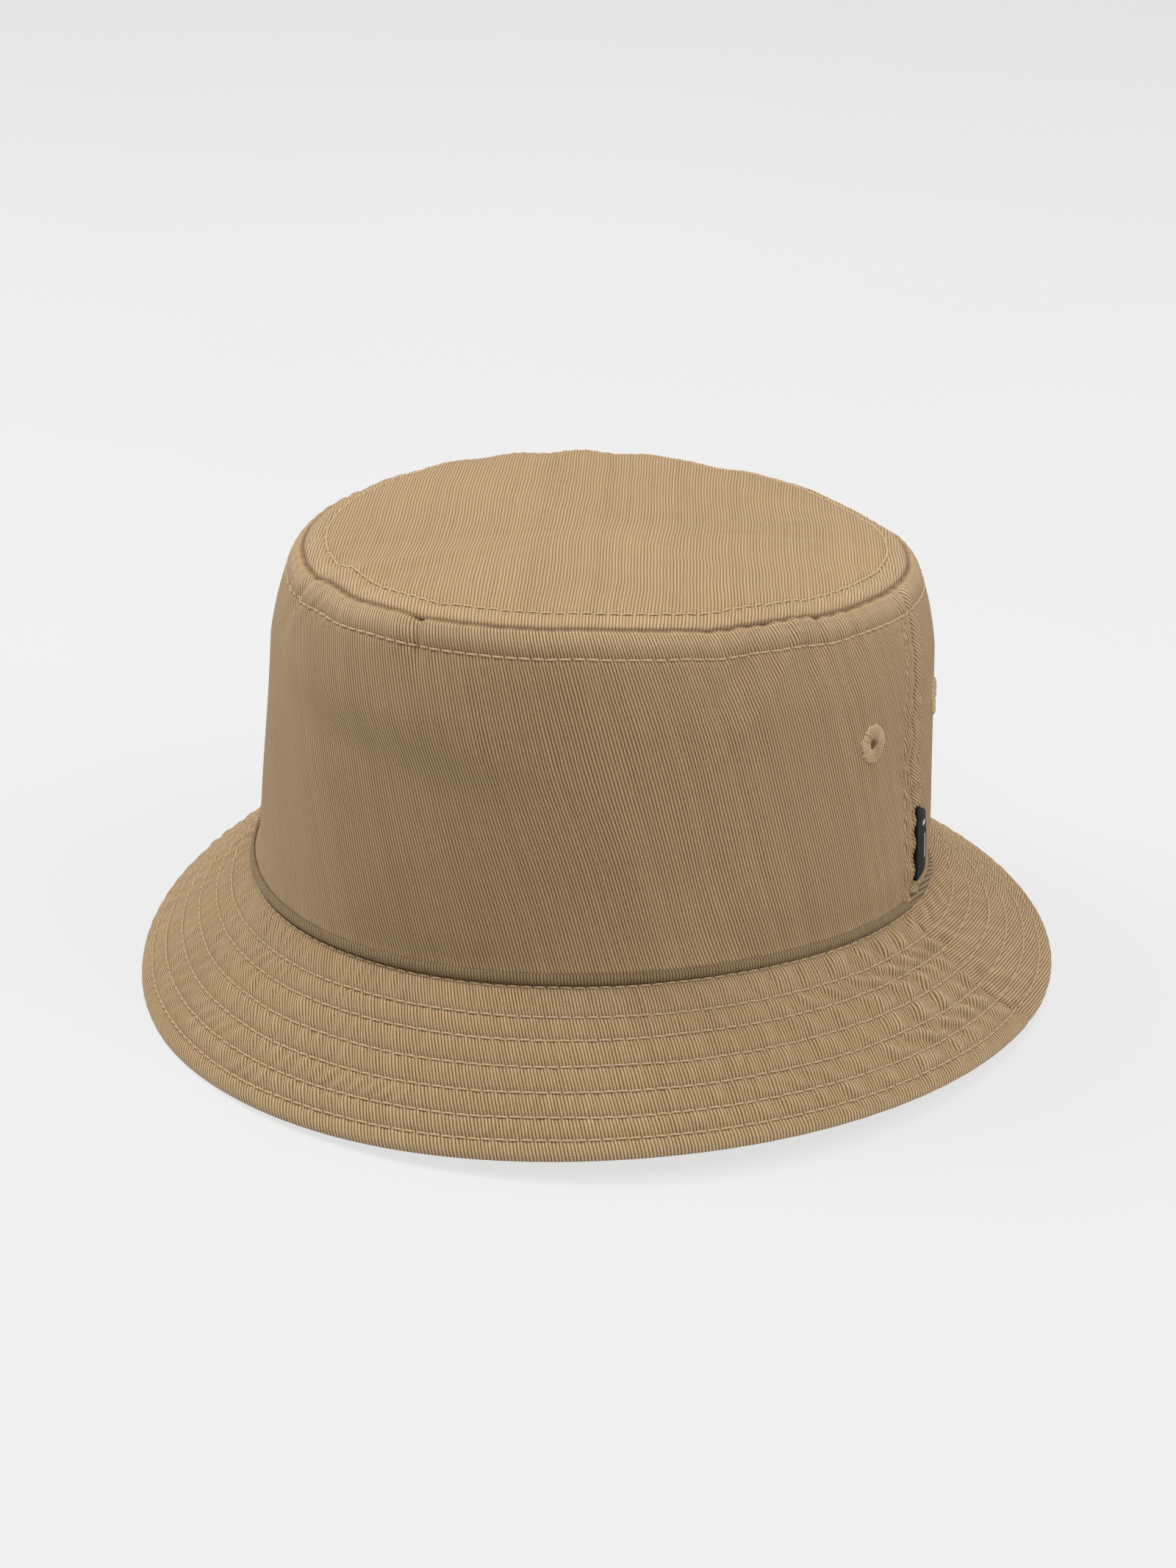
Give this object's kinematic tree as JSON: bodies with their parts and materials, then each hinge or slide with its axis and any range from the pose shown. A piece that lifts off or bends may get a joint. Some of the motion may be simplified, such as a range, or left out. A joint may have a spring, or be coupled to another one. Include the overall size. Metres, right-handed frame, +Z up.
{
  "type": "bucket hat",
  "caption": "Soft bucket hat of washed cotton twill: taped oval crown with a puffed top panel, row-stitched sloping brim, sewn eyelets and a small side label.",
  "frame": {"origin": "centre of the brim's edge, on the surface the hat stands on", "axes": "+Z up, the front of the hat faces -Y, the wearer's left is +X"},
  "size_m": [0.242, 0.268, 0.1238],
  "materials": {
    "twill": "washed cotton twill, matt",
    "thread": "polyester-cotton sewing thread, low sheen",
    "interlining": "plain stiffener",
    "seam_tape": "plain woven cotton tape",
    "sweatband": "folded cotton, plain weave",
    "side_label": "black satin woven label",
    "size_label": "white woven label"
  },
  "bodies": {
    "root": {"brim_interlining_back": "interlining", "brim_interlining_front": "interlining", "brim_stitch_row_1": "thread", "brim_stitch_row_2": "thread", "brim_stitch_row_3": "thread", "brim_stitch_row_4": "thread", "brim_stitch_row_5": "thread", "brim_stitch_row_6": "thread", "brim_stitch_row_7": "thread", "brim_under_back": "twill", "brim_under_front": "twill", "brim_upper_back": "twill", "brim_upper_front": "twill", "crown_panel_back": "twill", "crown_panel_front": "twill", "eyelet_back_left": "thread", "eyelet_back_right": "thread", "eyelet_front_left": "thread", "eyelet_front_right": "thread", "side_seam_stitch_left": "thread", "side_seam_stitch_right": "thread", "side_seam_tape_left": "seam_tape", "side_seam_tape_right": "seam_tape", "size_label": "size_label", "sweatband": "sweatband", "tip_panel": "twill", "tip_seam_tape": "seam_tape", "tip_stitch_lower": "thread", "tip_stitch_upper": "thread"},
    "label": {"side_label": "side_label"}
  },
  "joints": [
    {"name": "label_flap", "type": "hinge", "parent": "root", "child": "label", "pos_m": [0.08741, 0.00104, 0.03475], "axis": [0.0564, 0, -0.9984], "range_deg": [0, 150]}
  ]
}
